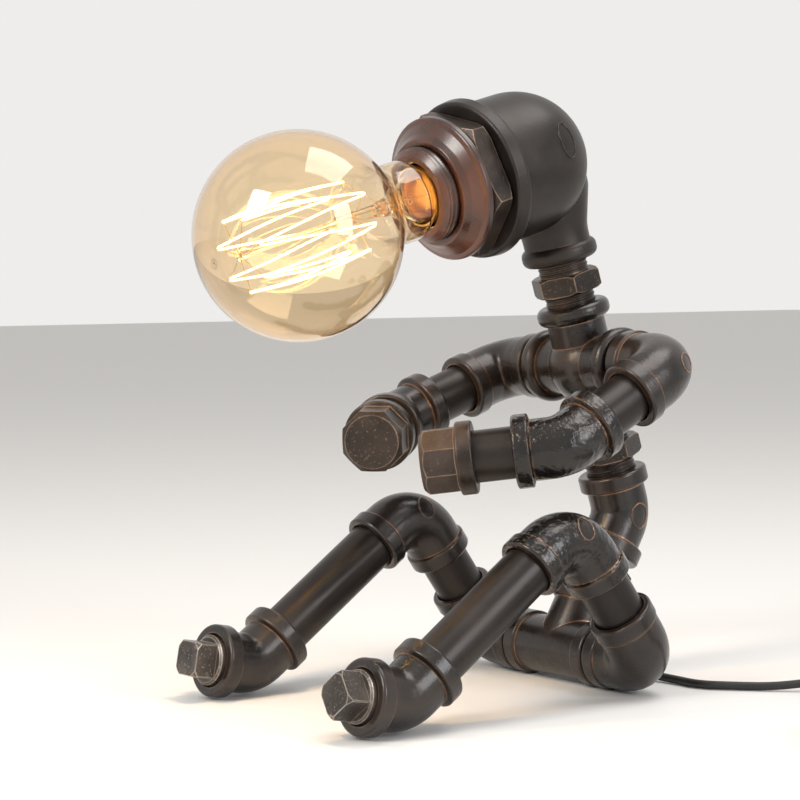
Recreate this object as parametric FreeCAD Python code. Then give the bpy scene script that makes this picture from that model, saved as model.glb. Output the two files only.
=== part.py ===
import FreeCAD, Part
import math
import os

V = FreeCAD.Vector

# Sizes in millimetres. The lamp is built in a frame with the hip tee's middle above the origin,
# +Z up and the robot facing -Y, and is moved at the end so that its box stands on the origin.

# Half inch pipe and its screwed ends
pipe_r = 10.65
thread_r = 10.45
way_r = 7.95
screw_play = 0.05
turn_play = 0.3
grip = 11.0
cast_way_r = 9.2
mouth_bevel = 0.9

# Cast fittings
elbow_reach = 27.5
elbow_r = 12.6
elbow_bend = 16.0
ball_r = 13.2
ball_bend = 14.0
bend45_reach = 20.0
bend45_bend = 15.0
tee_reach = 26.6
cross_reach = 28.0
band_w = 6.6
band_r = 13.8
shoulder_band_r = 14.4
bend45_band_r = 15.1
bead_r = 15.9
bead_w = 7.6
cross_ball_r = 16.4
gland_hole_r = 3.6

# Hexagons, caps and plugs
hex_flat = 26.5
hex_thick = 8.4
cap_flat = 25.6
cap_len = 21.6
cap_band_r = 15.0
plug_flat = 14.2
plug_stand = 12.0
plug_left_turn = 0.85

# Stance
hip_show = 0.8
shoulder_show = 1.8
shin_turn = 2.5
thigh_show = 17.6
shin_len = 106.4
spine_lean = 29.85
spine_show = 18.0
waist_show = 20.1
neck_show = 18.8
torso_side = 2.2
head_yaw = 3.0

# Arms: drop below level, turn of the forearm elbow, pipe shown above and below it
arm_show = 19.0
left_drop = 28.4
left_roll = 23.0
left_fore_show = 16.0
right_drop = 19.9
right_roll = 9.3
right_fore_show = 10.2

# Head: reducing elbow, bush, shade ring and lamp holder, along the head's axis from the neck
head_small_reach = 46.0
head_small_r = 14.4
head_bead_r = 16.4
head_big_reach = 42.0
head_big_r = 30.8
head_band_r = 34.2
head_band_w = 8.0
head_wall = 3.4
head_heel = 13.0
head_swell_r = 19.0
head_swell_from = 16.0
head_swell_to = 33.0
bush_screw = 9.0
bush_thread_r = 26.0
bush_flat = 55.0
bush_turn = 17.0
bush_gap = 1.0
bush_thick = 9.0
bush_from = head_big_reach + bush_gap
bush_to = bush_from + bush_thick
bush_way_r = 20.6
holder_r = 20.0
ring_r = 30.4
ring_gap = 1.0
ring_thick = 9.5
ring_from = bush_to + ring_gap
ring_to = ring_from + ring_thick
nose_r = 19.4
nose_show = 7.0
nose_to = ring_to + nose_show
shell_inset = 3.5
shell_len = 25.0
shell_front = nose_to - shell_inset
shell_back = shell_front - shell_len
insert_room = 6.0
holder_split = shell_back - insert_room
holder_cap_len = 23.0
holder_back = holder_split - holder_cap_len
shell_r = 13.75
shell_wall = 0.5

# Bulb
neck_from = nose_to
centre_from_cap = 62.0
bulb_centre = neck_from + centre_from_cap
globe_r = 42.3
glass_t = 1.0
neck_r = 17.0
cap_r = 13.2
screw_cap_len = 24.5
cap_back = neck_from - screw_cap_len
tip_len = 3.9
tip_back = cap_back - tip_len

# Mains lead
lead_r = 1.8
coil_gap = 0.55
coil_mean_r = 21.6
coil_layer_turns = 2.5
coil_layers = 4
coil_ahead = 25.5
coil_aside = 40.5
coil_turns = 11.25

# Strain relief on the back of the hip tee
gland_len = 20.0
gland_deep = 8.0
gland_tip_r = 2.7

# In-line switch
switch_len = 58.0
switch_wide = 19.0
switch_split = 6.4
switch_high = 12.6
switch_wall = 1.8
rocker_len = 17.0
rocker_wide = 9.0
rocker_tilt = 9.0
rocker_pin_r = 1.3

# Two pin plug
plug_len = 34.0
plug_wide = 26.0
plug_thick = 13.6
pin_r = 2.0
pin_root_r = 2.6
pin_root_len = 9.0
pin_len = 19.0
pin_apart = 18.6

# Filament cage
stem_sunk = 1.5
stem_len = 44.0
stem_from = neck_from - stem_sunk
stem_to = stem_from + stem_len
cage_behind = 27.0
cage_ahead = 27.5
cage_low = bulb_centre - cage_behind
cage_high = bulb_centre + cage_ahead
cage_r = 15.2
support_r = 0.3
support_play = 0.08
support_apart = 5.0
strands = 12
bead_over_wire = 1.3


def norm(v):
    w = V(v)
    w.normalize()
    return w


def rad(angle):
    return math.radians(angle)


def smooth(points):
    """Edges through (height, radius) points in the XZ plane; a third number rounds that corner."""
    corners = []
    n = len(points)
    for i, p in enumerate(points):
        at = V(p[1], 0, p[0])
        if len(p) < 3:
            corners.append((at, at, None))
            continue
        before = points[i - 1]
        after = points[(i + 1) % n]
        u = norm(V(before[1], 0, before[0]) - at)
        w = norm(V(after[1], 0, after[0]) - at)
        half = u.getAngle(w) / 2
        run = p[2] / math.tan(half)
        inward = norm(u + w)
        mid = at + inward * (p[2] / math.sin(half) - p[2])
        corners.append((at + u * run, at + w * run, mid))
    edges = []
    for i, (start, end, mid) in enumerate(corners):
        if mid is not None:
            edges.append(Part.Arc(start, mid, end).toShape())
        following = corners[(i + 1) % n][0]
        if end.distanceToPoint(following) > 1e-6:
            edges.append(Part.LineSegment(end, following).toShape())
    return edges


def turned(points):
    """Solid turned about the local Z axis from (height, radius[, rounding]) points."""
    face = Part.Face(Part.Wire(smooth(points)))
    return face.revolve(V(0, 0, 0), V(0, 0, 1), 360)


def placed(shape, at, along, across=None):
    """The shape with its local Z along a direction and, if given, its local X towards another."""
    z = norm(along)
    guess = across if across is not None else (V(1, 0, 0) if abs(z.x) < 0.9 else V(0, 1, 0))
    x = norm(guess - z * guess.dot(z))
    out = shape.copy()
    turn = FreeCAD.Placement(at, FreeCAD.Rotation(x, z.cross(x), z, "ZXY"))
    out.Placement = turn.multiply(out.Placement)
    return out


def fused(shapes):
    first = shapes[0]
    return first.fuse(shapes[1:]).removeSplitter()


def cut(body, tools):
    return body.cut(tools[0].fuse(tools[1:]) if len(tools) > 1 else tools[0])


def prism(flat, sides, low, high):
    """Upright prism with the given size across flats."""
    r = flat / 2 / math.cos(math.pi / sides)
    ring = [V(r * math.cos(2 * math.pi * (i + 0.5) / sides), r * math.sin(2 * math.pi * (i + 0.5) / sides), low)
            for i in range(sides)]
    face = Part.Face(Part.makePolygon(ring + ring[:1]))
    return face.extrude(V(0, 0, high - low))


# Cast fitting arms, each from the fitting's middle (height 0) along local Z

def band_arm(start, reach, r, edge_r, width):
    """Body and the flat band round its screwed mouth."""
    return turned([(start, 0), (start, r), (reach - width - 0.8, r), (reach - width, edge_r, 0.9),
                   (reach, edge_r, 1.3), (reach, 0)])


def bead_arm(start, reach, r, edge_r, width):
    """Body and the full rounded bead round its screwed mouth."""
    rounding = width * 0.42
    return turned([(start, 0), (start, r), (reach - width, r), (reach - width + 0.6, edge_r, rounding),
                   (reach, edge_r, rounding), (reach, 0)])


def socket(start, reach, way=cast_way_r, deep=grip):
    """Screwed mouth with its bevel, and the waterway behind its shoulder."""
    r = thread_r + screw_play
    over = 1.0
    return turned([(start, 0), (start, way), (reach - deep, way), (reach - deep, r), (reach - mouth_bevel, r),
                   (reach, r + mouth_bevel), (reach + over, r + mouth_bevel), (reach + over, 0)])


def bend(at, a, b, radius, r):
    """Round bend that joins two arms whose mouths point along a and b."""
    turn = math.pi - a.getAngle(b)
    run = radius * math.tan(turn / 2)
    side = norm(b - a * a.dot(b))
    centre = at + a * run + side * radius
    disc = Part.Face(Part.Wire(Part.makeCircle(r, at + a * run, a)))
    return disc.revolve(centre, side.cross(a), math.degrees(turn)), run


def elbow(at, a, b, reach, r, radius, edge_r):
    """Bored elbow with a banded mouth on each arm."""
    core, run = bend(at, a, b, radius, r)
    hole, run = bend(at, a, b, radius, cast_way_r)
    outer = [core] + [placed(band_arm(run, reach, r, edge_r, band_w), at, d) for d in (a, b)]
    inner = [hole] + [placed(socket(run, reach), at, d) for d in (a, b)]
    return cut(fused(outer), inner)


def nipple(at, along, length):
    """Length of pipe with its ends cut down for thread, starting at a point."""
    end = grip - 1.5
    shape = turned([(0, way_r), (0, thread_r - 0.8), (0.8, thread_r), (end, thread_r), (end + 1.2, pipe_r),
                    (length - end - 1.2, pipe_r), (length - end, thread_r), (length - 0.8, thread_r),
                    (length, thread_r - 0.8), (length, way_r)])
    return placed(shape, at, along)


def hex_nipple(at, along, length, turn):
    """Nipple with a hexagon in its middle."""
    low = (length - hex_thick) / 2
    high = low + hex_thick
    corner = hex_flat / 2 / math.cos(math.pi / 6)
    barrel = turned([(0, 0), (0, thread_r - 0.8), (0.8, thread_r), (length - 0.8, thread_r),
                     (length, thread_r - 0.8), (length, 0)])
    dome = turned([(low, 0), (low, corner - 1.5), (low + 1.2, corner + 0.2), (high - 1.2, corner + 0.2),
                   (high, corner - 1.5), (high, 0)])
    nut = prism(hex_flat, 6, low, high).common(dome)
    drill = Part.makeCylinder(way_r, length + 2, V(0, 0, -1))
    return placed(barrel.fuse(nut).cut(drill), at, along, turn)


def cap(at, along):
    """Eight sided cap over the end of a pipe, open at its start."""
    corner = cap_flat / 2 / math.cos(math.pi / 8)
    skirt = turned([(0, 0), (0, cap_band_r, 1.0), (band_w, cap_band_r, 1.0), (band_w + 0.6, corner - 1.2),
                    (band_w + 0.6, 0)])
    dome = turned([(0, 0), (0, corner + 0.1), (cap_len - 2.6, corner + 0.1), (cap_len, corner - 2.4), (cap_len, 0)])
    crown = prism(cap_flat, 8, 1.0, cap_len).common(dome)
    r = thread_r + screw_play
    hollow = turned([(-1, 0), (-1, r + mouth_bevel), (0, r + mouth_bevel), (mouth_bevel, r), (grip, r),
                     (grip, way_r), (cap_len - 4.2, way_r, 2.0), (cap_len - 4.2, 0)])
    return placed(skirt.fuse(crown).cut(hollow), at, along, V(0, 0, 1))


def plug(at, along, turn):
    """Square headed plug screwed into a mouth whose face is at the given point."""
    base_r = thread_r
    stem = turned([(-grip, 0), (-grip, base_r - 0.8), (-grip + 0.8, base_r), (1.4, base_r),
                   (2.2, base_r - 1.0), (2.2, 0)])
    corner = plug_flat / math.sqrt(2)
    dome = turned([(1.0, 0), (1.0, corner - 0.3), (plug_stand - 1.6, corner - 0.3), (plug_stand, corner - 1.9),
                   (plug_stand, 0)])
    head = prism(plug_flat, 4, 1.0, plug_stand).common(dome)
    recess = turned([(-grip - 1, 0), (-grip - 1, way_r), (-1.5, way_r, 1.5), (-1.5, 0)])
    return placed(stem.fuse(head).cut(recess), at, along, turn)


# The skeleton: middles of the fittings and directions of the pipes

out_left = V(1, 0, 0)
hip_axis_z = band_r
hip = V(0, 0, hip_axis_z)
spine_dir = V(0, math.sin(rad(spine_lean)), math.cos(rad(spine_lean)))
waist_at = hip + spine_dir * (tee_reach + spine_show + bend45_reach)
torso_lean = rad(45 - spine_lean)
torso_dir = norm(V(-math.sin(rad(torso_side)), -math.sin(torso_lean) * math.cos(rad(torso_side)),
                   math.cos(torso_lean) * math.cos(rad(torso_side))))
chest_at = waist_at + torso_dir * (bend45_reach + waist_show + cross_reach)
cross_side = norm(out_left - torso_dir * out_left.dot(torso_dir))
neck_at = chest_at + torso_dir * (cross_reach + neck_show + head_small_reach)
ahead = norm(V(0, -1, 0) - torso_dir * V(0, -1, 0).dot(torso_dir))
head_side = ahead.cross(torso_dir) * -1
if head_side.x < 0:
    head_side = head_side * -1
head_dir = norm(ahead * math.cos(rad(head_yaw)) + head_side * math.sin(rad(head_yaw)))


# The thighs rise just so far that hips and ankles all rest on the table.
thigh_len = 2 * elbow_reach + thigh_show
shin_fall = shin_len * math.cos(rad(shin_turn))
thigh_rise = (math.atan2(shin_fall, thigh_len)
              + math.asin((elbow_r - hip_axis_z) / math.hypot(shin_fall, thigh_len)))


def along_head(distance):
    return neck_at + head_dir * distance


def leg(side, parts, name):
    """One leg from the hip tee to the toe plug."""
    root = hip + out_left * (side * (tee_reach + hip_show + elbow_reach))
    up = thigh_rise
    thigh = V(0, -math.cos(up), math.sin(up))
    flat = V(0, -math.sin(up), -math.cos(up))
    shin = norm(flat * math.cos(rad(shin_turn)) + out_left * math.sin(rad(shin_turn)))
    inward = V(-side, 0, 0)
    parts[name + "_hip_elbow"] = elbow(root, inward, thigh, elbow_reach, ball_r, ball_bend, band_r)
    parts[name + "_hip_nipple"] = nipple(root + inward * (elbow_reach - grip), inward, hip_show + 2 * grip)
    knee = root + thigh * (2 * elbow_reach + thigh_show)
    parts[name + "_thigh_nipple"] = nipple(root + thigh * (elbow_reach - grip), thigh, thigh_show + 2 * grip)
    parts[name + "_knee_elbow"] = elbow(knee, thigh * -1, shin, elbow_reach, elbow_r, elbow_bend, band_r)
    ankle = knee + shin * shin_len
    shown = shin_len - elbow_reach - bend45_reach
    parts[name + "_shin_pipe"] = nipple(knee + shin * (elbow_reach - grip), shin, shown + 2 * grip)
    level = norm(V(shin.x, shin.y, 0))
    upward = norm(level - shin * level.dot(shin))
    toe = norm(shin + upward)
    parts[name + "_ankle_elbow"] = elbow(ankle, shin * -1, toe, bend45_reach, elbow_r, bend45_bend, bend45_band_r)
    square_turn = out_left if side < 0 else norm(out_left + V(0, 0, plug_left_turn))
    parts[name + "_toe_plug"] = plug(ankle + toe * bend45_reach, toe, square_turn)


def arm(side, parts, name, drop, roll, fore_show):
    """One arm from the torso cross to the hand cap."""
    root = chest_at + cross_side * (side * (cross_reach + shoulder_show + elbow_reach))
    fall = rad(drop)
    upper = norm(V(0, -math.cos(fall), -math.sin(fall)))
    upper = norm(upper - cross_side * upper.dot(cross_side))
    inward = cross_side * -side
    parts[name + "_shoulder_elbow"] = elbow(root, upper, inward, elbow_reach, ball_r, ball_bend, shoulder_band_r)
    socket_face = root + inward * (elbow_reach - grip + turn_play)
    parts[name + "_shoulder_nipple"] = nipple(socket_face, inward, shoulder_show + 2 * grip - turn_play)
    shoulder_face = root + upper * (elbow_reach - grip)
    parts[name + "_upper_arm_nipple"] = nipple(shoulder_face, upper, arm_show + 2 * grip - turn_play)
    joint = root + upper * (elbow_reach + arm_show + bend45_reach)
    lift = upper.cross(cross_side)
    if lift.z < 0:
        lift = lift * -1
    sideways = norm(inward * math.cos(rad(roll)) + lift * math.sin(rad(roll)))
    fore = norm((upper + sideways) * (1 / math.sqrt(2)))
    parts[name + "_forearm_elbow"] = elbow(joint, upper * -1, fore, bend45_reach, elbow_r, bend45_bend,
                                           bend45_band_r)
    start = joint + fore * (bend45_reach - grip)
    parts[name + "_forearm_nipple"] = nipple(start, fore, fore_show + 2 * grip)
    parts[name + "_hand_cap"] = cap(joint + fore * (bend45_reach + fore_show), fore)


def hip_tee(branch, gland_at, gland_dir):
    run = band_arm(0, tee_reach, elbow_r, band_r, band_w)
    outer = [placed(run, hip, out_left), placed(run, hip, out_left * -1), placed(run, hip, branch)]
    mouth = socket(0, tee_reach)
    inner = [placed(mouth, hip, out_left), placed(mouth, hip, out_left * -1), placed(mouth, hip, branch)]
    inner.append(Part.makeCylinder(gland_hole_r, 16, gland_at - gland_dir * 9, gland_dir))
    return cut(fused(outer), inner)


def torso_cross():
    ways = [torso_dir, torso_dir * -1, cross_side, cross_side * -1]
    outer = [placed(bead_arm(0, cross_reach, elbow_r, bead_r, bead_w), chest_at, w) for w in ways]
    outer.append(Part.makeSphere(cross_ball_r, chest_at))
    inner = [placed(socket(0, cross_reach), chest_at, w) for w in ways]
    return cut(fused(outer), inner)


def head_body(inset, front):
    """Body of the reducing elbow: a half ball that runs on to the front, on a swelling neck."""
    r = head_big_r - inset
    slant = r * math.sqrt(0.5)
    low = V(0, 0, head_heel - r)
    side = V(r, 0, head_heel)
    edges = [Part.Arc(low, V(slant, 0, head_heel - slant), side).toShape(),
             Part.LineSegment(side, V(r, 0, front)).toShape(),
             Part.LineSegment(V(r, 0, front), V(0, 0, front)).toShape(),
             Part.LineSegment(V(0, 0, front), low).toShape()]
    bowl = placed(Part.Face(Part.Wire(edges)).revolve(V(0, 0, 0), V(0, 0, 1), 360), neck_at, head_dir)
    top_r = head_swell_r - inset
    neck = turned([(0, 0), (0, top_r), (head_swell_from, top_r, 12), (head_swell_to, head_small_r - inset, 20),
                   (head_swell_to + 4, head_small_r - inset), (head_swell_to + 4, 0)])
    return bowl.fuse(placed(neck, neck_at, torso_dir * -1))


def head_elbow():
    """Reducing elbow: a small neck that swells and turns into the wide mouth."""
    rim_from = head_big_reach - head_band_w - 2
    thread_from = bush_from - bush_screw - 1
    neck = bead_arm(head_swell_to, head_small_reach, head_small_r, head_bead_r, bead_w)
    rim = turned([(rim_from, 0), (rim_from, head_big_r), (head_big_reach - head_band_w, head_big_r),
                  (head_big_reach - head_band_w + 0.8, head_band_r, 2.4), (head_big_reach, head_band_r - 0.8, 1.6),
                  (head_big_reach, 0)])
    wide = bush_thread_r + screw_play
    mouth = head_big_reach - 1.2
    rim_hole = turned([(thread_from, 0), (thread_from, wide), (mouth, wide), (head_big_reach, wide + 1.2),
                       (head_big_reach + 1, wide + 1.2), (head_big_reach + 1, 0)])
    outer = [head_body(0, rim_from + 1), placed(neck, neck_at, torso_dir * -1), placed(rim, neck_at, head_dir)]
    inner = [head_body(head_wall, thread_from + 0.5), placed(socket(head_swell_to, head_small_reach), neck_at,
                                                              torso_dir * -1),
             placed(rim_hole, neck_at, head_dir)]
    return cut(fused(outer), inner)


def head_bush():
    """Hexagon bush in the wide mouth, bored out for the lamp holder."""
    corner = bush_flat / 2 / math.cos(math.pi / 6)
    back = bush_from - bush_screw
    screw = turned([(back, 0), (back, bush_thread_r - 1), (back + 1.0, bush_thread_r), (bush_from, bush_thread_r),
                    (bush_from, 0)])
    dome = turned([(bush_from, 0), (bush_from, corner - 2.4), (bush_from + 1.6, corner + 0.2),
                   (bush_to - 1.8, corner + 0.2), (bush_to, corner - 2.6), (bush_to, 0)])
    nut = prism(bush_flat, 6, bush_from, bush_to).common(dome)
    drill = Part.makeCylinder(bush_way_r, 40, V(0, 0, back - 1))
    corner_way = torso_dir * math.cos(rad(bush_turn)) + head_side * math.sin(rad(bush_turn))
    return placed(screw.fuse(nut).cut(drill), neck_at, head_dir, corner_way)


def shade_ring():
    """Moulded ring with a wide flange, screwed along the holder's nose."""
    way = nose_r + 0.7
    shape = turned([(ring_from, way), (ring_from, ring_r, 1.0), (ring_from + 3.2, ring_r, 1.2),
                    (ring_from + 4.2, ring_r - 2.4), (ring_to - 2.5, 24.4, 2.5), (ring_to, 22.4, 0.8),
                    (ring_to, way)])
    return placed(shape, neck_at, head_dir)


def holder_shell():
    """Front half of the moulded lamp holder, with its screwed nose and sloped lip."""
    ribs = []
    for k in range(2):
        low = ring_to + 0.6 + 2.3 * k
        ribs += [(low, nose_r), (low + 0.5, nose_r + 0.6), (low + 1.2, nose_r + 0.6), (low + 1.7, nose_r)]
    way = shell_r + shell_wall + 0.1
    shape = turned([(holder_split, 17.4), (holder_split, holder_r, 0.6), (ring_from - 1.0, holder_r),
                    (ring_from - 1.0, nose_r)] + ribs
                   + [(nose_to - 1.8, nose_r), (nose_to, 17.2, 0.8), (nose_to, way + 0.6), (shell_front + 0.4, way),
                      (shell_back + 2.4, way), (shell_back + 2.4, 17.4)])
    return placed(shape, neck_at, head_dir)


def holder_cap():
    """Back half of the lamp holder, domed, with the lead's entry."""
    rim_r = holder_r - 0.8
    shape = turned([(holder_back, 3.2), (holder_back, 5.6, 0.8), (holder_back + 5.0, 5.6),
                    (holder_back + 6.5, 12.0, 3.0), (holder_back + 12.0, rim_r, 3.0), (holder_split, rim_r),
                    (holder_split, rim_r - 2.4), (holder_back + 12.0, rim_r - 2.4, 2.0),
                    (holder_back + 8.5, 10.5, 2.0), (holder_back + 7.5, 3.2)])
    return placed(shape, neck_at, head_dir)


def holder_insert():
    """Ceramic block that carries the contacts."""
    front = shell_back - 0.4
    block = turned([(front - 5.2, 0), (front - 5.2, 15.8, 0.8), (front, 15.8, 0.8), (front, 0)])
    slots = [Part.makeBox(3.0, 6.0, 3.0, V(x, -3.0, front - 6.2)) for x in (-13.0, 10.0)]
    return placed(cut(block, slots), neck_at, head_dir, torso_dir)


def screw_shell():
    """Brass screw shell with its rolled thread form."""
    outer = [(shell_back, shell_r + shell_wall)]
    inner = [(shell_back, shell_r)]
    pitch = 4.2
    for k in range(4):
        low = shell_back + 5.5 + pitch * k
        outer += [(low, shell_r + shell_wall), (low + pitch * 0.5, shell_r + shell_wall - 0.25)]
        inner += [(low, shell_r), (low + pitch * 0.5, shell_r - 0.25)]
    outer += [(shell_front, shell_r + shell_wall)]
    inner += [(shell_front, shell_r)]
    return placed(turned(outer + inner[::-1]), neck_at, head_dir)


def holder_contact():
    """Sprung strip that the bulb's tip presses on."""
    strip = Part.makeBox(5.0, 16.0, 0.5, V(-2.5, -8.0, shell_back - 0.4))
    return placed(strip, neck_at, head_dir, torso_dir)


# Bulb, along the head's axis

def bulb_globe():
    """Blown globe with its drawn neck, one wall thick."""
    def outline(inset):
        r = globe_r - inset
        neck = neck_r - inset
        flare = 14.0 + inset
        reach = math.sqrt((r + flare) ** 2 - (neck + flare) ** 2)
        join_z = bulb_centre - reach
        scale = r / (r + flare)
        touch = (bulb_centre - reach * scale, (neck + flare) * scale)
        away = math.atan2(neck + flare, reach)
        half = math.pi / 2 - (math.pi / 2 - away) / 2
        bisect = math.radians(90) - (math.radians(90) - away) / 2
        mid = (join_z + flare * math.cos(bisect), neck + flare - flare * math.sin(bisect))
        return r, neck, join_z, touch, mid
    edges = []
    r, neck, join_z, touch, mid = outline(0)
    ri, neck_i, join_i, touch_i, mid_i = outline(glass_t)

    def point(pair):
        return V(pair[1], 0, pair[0])
    top = (bulb_centre + r, 0)
    top_i = (bulb_centre + ri, 0)

    def far(rr, start):
        a = (math.atan2(start[1], start[0] - bulb_centre)) / 2
        return (bulb_centre + rr * math.cos(a), rr * math.sin(a))
    lip = (neck_from, cap_r + 0.4)
    lip_i = (neck_from, cap_r + 0.4 - glass_t)
    shoulder = (neck_from + 6.0, neck_r)
    shoulder_i = (neck_from + 6.0, neck_r - glass_t)
    edges.append(Part.LineSegment(point(lip), point(shoulder)).toShape())
    edges.append(Part.LineSegment(point(shoulder), point((join_z, neck))).toShape())
    edges.append(Part.Arc(point((join_z, neck)), point(mid), point(touch)).toShape())
    edges.append(Part.Arc(point(touch), point(far(r, touch)), point(top)).toShape())
    edges.append(Part.LineSegment(point(top), point(top_i)).toShape())
    edges.append(Part.Arc(point(top_i), point(far(ri, touch_i)), point(touch_i)).toShape())
    edges.append(Part.Arc(point(touch_i), point(mid_i), point((join_i, neck_i))).toShape())
    edges.append(Part.LineSegment(point((join_i, neck_i)), point(shoulder_i)).toShape())
    edges.append(Part.LineSegment(point(shoulder_i), point(lip_i)).toShape())
    edges.append(Part.LineSegment(point(lip_i), point(lip)).toShape())
    face = Part.Face(Part.Wire(edges))
    return placed(face.revolve(V(0, 0, 0), V(0, 0, 1), 360), neck_at, head_dir)


def bulb_cap():
    """Screw cap of the bulb with its rolled thread."""
    outer = [(cap_back, 11.0), (cap_back + 1.6, cap_r - 0.9)]
    count = 4
    pitch = 4.2
    for k in range(count):
        low = cap_back + 3.0 + pitch * k
        outer += [(low, cap_r - 0.9), (low + pitch * 0.5, cap_r)]
    outer += [(neck_from - 4.0, cap_r - 0.6), (neck_from, cap_r + 0.2)]
    shape = turned([(cap_back, 0), *outer, (neck_from, 0)])
    room = turned([(cap_back + 1.2, 0), (cap_back + 1.2, 10.4), (cap_back + 4, cap_r - 1.6),
                   (neck_from + 1, cap_r - 1.4), (neck_from + 1, 0)])
    hole = Part.makeCylinder(8.0, 4, V(0, 0, cap_back - 1))
    return placed(cut(shape, [room, hole]), neck_at, head_dir)


def bulb_insulator():
    shape = turned([(tip_back + 1.6, 0), (tip_back + 1.6, 5.0), (cap_back, 10.0), (cap_back, 7.9),
                    (cap_back + 1.6, 7.9), (cap_back + 1.6, 0)])
    return placed(shape, neck_at, head_dir)


def bulb_contact():
    shape = turned([(tip_back, 0), (tip_back, 3.4, 0.6), (tip_back + 1.6, 4.6), (tip_back + 1.6, 0)])
    return placed(shape, neck_at, head_dir)


def bulb_stem():
    """Glass stem: a flare sealed in the neck and a rod that carries the hooks."""
    shape = turned([(stem_from, 10.6), (stem_from, 11.4), (stem_from + 4, 10.2), (stem_from + 14, 4.6, 3.0),
                    (stem_from + 24, 2.6), (stem_to, 2.6, 1.0), (stem_to, 0), (stem_from + 16, 0),
                    (stem_from + 14, 3.4), (stem_from + 4, 9.2)])
    ways = [Part.makeCylinder(support_r + support_play, stem_len, along_head(stem_from) + way * support_apart,
                              head_dir) for way in support_ways()]
    return cut(placed(shape, neck_at, head_dir), ways)


def wire(points, r):
    """Thin wire made of straight bars with a ball at each inner corner."""
    bars = []
    for start, end in zip(points, points[1:]):
        bars.append(Part.makeCylinder(r, (end - start).Length, start, end - start))
    bars += [Part.makeSphere(r * bead_over_wire, p) for p in points[1:-1]]
    return bars[0].fuse(bars[1:])


def cage_point(index, height):
    a = 2 * math.pi * (index + 0.5) / strands
    side = norm(head_dir.cross(torso_dir))
    return along_head(height) + (torso_dir * math.cos(a) + side * math.sin(a)) * cage_r


def bulb_filament():
    """One long filament that runs up and down round a cage."""
    points = []
    for k in range(strands):
        low = cage_point(k, cage_low)
        high = cage_point(k, cage_high)
        points += [low, high] if k % 2 == 0 else [high, low]
    return wire(points, 0.35)


def support_ways():
    """Directions from the stem's middle to the filament's two ends."""
    return [norm(cage_point(k, cage_low) - along_head(cage_low)) for k in (0, strands - 1)]


def bulb_supports():
    """Two lead wires that pass through the stem's flare to the filament's ends."""
    lines = []
    for k, way in zip((0, strands - 1), support_ways()):
        start = along_head(cap_back + 6) + way * support_apart
        knee = along_head(stem_to - 12) + way * support_apart
        lines.append(wire([start, knee, cage_point(k, cage_low) - head_dir * 0.8], support_r))
    return Part.makeCompound(lines)


# The lead inside the pipes and outside on the table

def route(points, ratio=0.45):
    """Straight runs joined by the largest tangent arcs, and the arcs' radii."""
    edges = []
    radii = []
    at = points[0]
    for before, here, after in zip(points, points[1:], points[2:]):
        u = norm(before - here)
        w = norm(after - here)
        run = ratio * min((before - here).Length, (after - here).Length)
        half = u.getAngle(w) / 2
        radius = run * math.tan(half)
        radii.append(radius)
        start = here + u * run
        end = here + w * run
        mid = here + norm(u + w) * (radius / math.sin(half) - radius)
        edges.append(Part.LineSegment(at, start).toShape())
        edges.append(Part.Arc(start, mid, end).toShape())
        at = end
    edges.append(Part.LineSegment(at, points[-1]).toShape())
    return Part.Wire(edges), radii


def tube(points, r, name):
    path, radii = route(points)
    disc = Part.Wire(Part.makeCircle(r, points[0], points[1] - points[0]))
    solid = path.makePipeShell([disc], True, False)
    expected = math.pi * r * r * path.Length
    print(name, "length", round(path.Length, 1), "radii", [round(x, 1) for x in radii],
          "volume ratio", round(solid.Volume / expected, 4))
    return solid, path.Length


# Strain relief and the lead's route on the table

gland_at = V(2.0, 10.6, 7.4)
gland_dir = norm(V(0.80, 0.57, -0.17))
gland_tip = gland_at + gland_dir * gland_len


def cord_gland():
    """Tapered strain relief: a shank in its hole and a collar shaped to the round casting."""
    shank = turned([(-gland_deep, 0), (-gland_deep, gland_hole_r - screw_play),
                    (gland_deep, gland_hole_r - screw_play), (gland_deep, 0)])
    sleeve = turned([(0, 0), (0, 4.6, 0.8), (5.2, 4.6, 0.8), (6.0, 3.9), (gland_len, gland_tip_r, 0.6),
                     (gland_len, 0)])
    across = Part.makeCylinder(elbow_r + screw_play, 2 * tee_reach, hip - out_left * tee_reach, out_left)
    upward = Part.makeCylinder(elbow_r + screw_play, tee_reach, hip, spine_dir)
    collar = cut(placed(sleeve, gland_at, gland_dir), [across, upward])
    return placed(shank, gland_at, gland_dir).fuse(collar)


def inner_lead():
    """Lead inside the spine, from the strain relief to the neck's turning joint."""
    start = gland_at - gland_dir * gland_deep
    points = [start, start - gland_dir * 4.0, hip + V(-6.0, 2.0, 3.2), waist_at,
              neck_at - torso_dir * neck_turn_at]
    path, radii = route(points, 0.45)
    disc = Part.Wire(Part.makeCircle(lead_r, points[0], points[1] - points[0]))
    return path.makePipeShell([disc], True, False)


def head_lead():
    """Lead inside the head, from the turning joint to the lamp holder."""
    points = [neck_at - torso_dir * neck_turn_at, neck_at, along_head(holder_back + 5.0)]
    path, radii = route(points, 0.45)
    disc = Part.Wire(Part.makeCircle(lead_r, points[0], points[1] - points[0]))
    return path.makePipeShell([disc], True, False)


neck_turn_at = head_small_reach - grip

switch_at = V(115.2, 88.0, 0.3)
switch_dir = norm(V(0.72, 0.69, 0))
switch_axis_z = 5.6
switch_in = switch_at - switch_dir * (switch_len / 2) + V(0, 0, switch_axis_z - 0.3)
switch_out = switch_at + switch_dir * (switch_len / 2) + V(0, 0, switch_axis_z - 0.3)

free_points = [gland_tip, gland_tip + gland_dir * 10.0, V(37.5, 30.0, lead_r), V(53.5, 29.2, lead_r),
               V(65.0, 39.0, lead_r), V(75.5, 49.8, lead_r), V(85.0, 59.2, 3.4), switch_in]


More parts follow.
